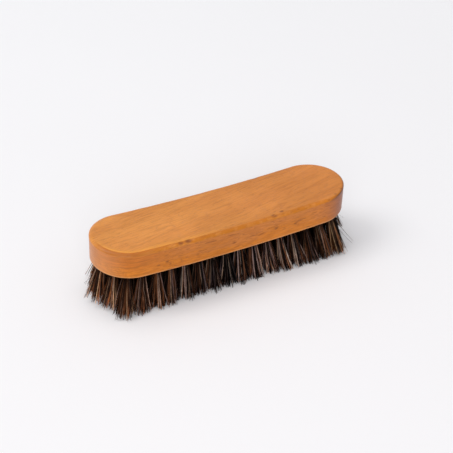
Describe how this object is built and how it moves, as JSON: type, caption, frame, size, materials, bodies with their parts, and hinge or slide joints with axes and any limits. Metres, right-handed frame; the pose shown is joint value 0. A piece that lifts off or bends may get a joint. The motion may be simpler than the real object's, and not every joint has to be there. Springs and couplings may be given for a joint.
{
  "type": "shoe shine brush",
  "caption": "Shoe shine brush with a long, gently bowed wooden block, round ends and dense dark hair tufts that fan outwards.",
  "frame": {"origin": "centre of the rectangle that the bristle tips stand on, at the level of the trimmed tips", "axes": "+X along the length of the block, +Y across its width, +Z from the tips up to the wooden block"},
  "size_m": [0.1761, 0.0484, 0.0438],
  "materials": {
    "block_wood": "honey stain under satin lacquer, fine grain along the block",
    "hair": "dark brown horsehair with lighter tan and grey hairs, slight sheen",
    "anchor_wire": "plain flat wire"
  },
  "bodies": {
    "root": {"block": "block_wood", "tufts_front_outer": "hair", "tufts_front_inner": "hair", "tufts_middle": "hair", "tufts_back_inner": "hair", "tufts_back_outer": "hair", "anchors_front_outer": "anchor_wire", "anchors_front_inner": "anchor_wire", "anchors_middle": "anchor_wire", "anchors_back_inner": "anchor_wire", "anchors_back_outer": "anchor_wire"}
  },
  "joints": []
}
